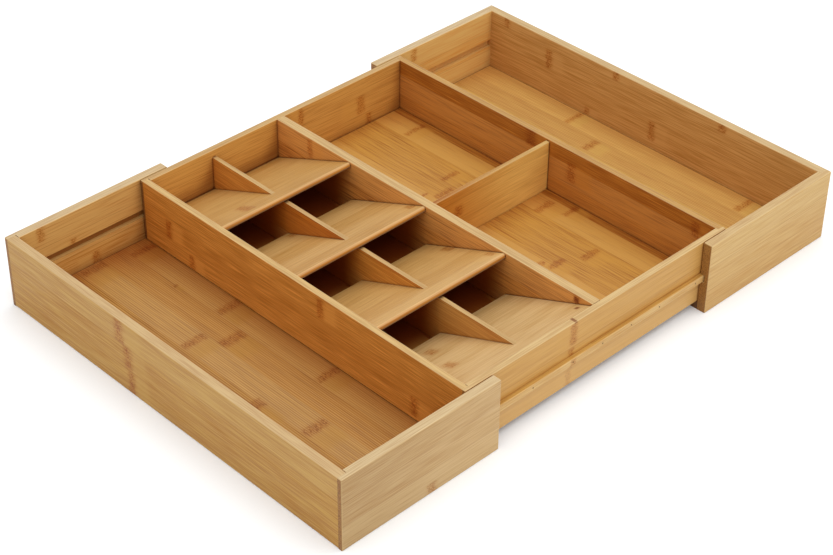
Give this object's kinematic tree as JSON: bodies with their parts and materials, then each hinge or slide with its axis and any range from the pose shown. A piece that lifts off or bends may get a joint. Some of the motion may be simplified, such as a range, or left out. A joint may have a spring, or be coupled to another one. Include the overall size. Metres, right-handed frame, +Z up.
{
  "type": "expandable drawer organizer",
  "caption": "Bamboo drawer organizer whose two outer trays slide over a centre tray with sloping cutlery shelves and open compartments.",
  "frame": {"origin": "on the face it rests on, under the middle of the fully extended organizer", "axes": "+X towards the right outer tray, along which both outer trays slide; +Y to the back; +Z up"},
  "size_m": [0.5612, 0.4, 0.0673],
  "materials": {
    "outer_walls": "satin lacquered bamboo",
    "outer_floors": "satin lacquered bamboo",
    "centre_walls": "satin lacquered bamboo",
    "centre_floor": "satin lacquered bamboo",
    "dividers": "satin lacquered bamboo",
    "shelves": "satin lacquered bamboo",
    "column_dividers": "satin lacquered bamboo",
    "runners": "satin lacquered bamboo",
    "nails": "dull small nail heads"
  },
  "bodies": {
    "centre_tray": {"centre_front_wall": "centre_walls", "centre_back_wall": "centre_walls", "centre_left_end_wall": "centre_walls", "centre_right_end_wall": "centre_walls", "centre_floor": "centre_floor", "long_divider": "dividers", "cross_divider": "dividers", "shelf_1": "shelves", "shelf_2": "shelves", "shelf_3": "shelves", "shelf_4": "shelves", "column_divider_1": "column_dividers", "column_divider_2": "column_dividers", "column_divider_3": "column_dividers", "column_divider_4": "column_dividers", "front_runner": "runners", "back_runner": "runners", "runner_nails": "nails"},
    "left_tray": {"left_front_wall": "outer_walls", "left_back_wall": "outer_walls", "left_end_wall": "outer_walls", "left_floor": "outer_floors"},
    "right_tray": {"right_front_wall": "outer_walls", "right_back_wall": "outer_walls", "right_end_wall": "outer_walls", "right_floor": "outer_floors"}
  },
  "joints": [
    {"name": "left_tray_slide", "type": "slide", "parent": "centre_tray", "child": "left_tray", "axis": [1, 0, 0], "range_m": [0, 0.1213]},
    {"name": "right_tray_slide", "type": "slide", "parent": "centre_tray", "child": "right_tray", "axis": [-1, 0, 0], "range_m": [0, 0.1213]}
  ]
}
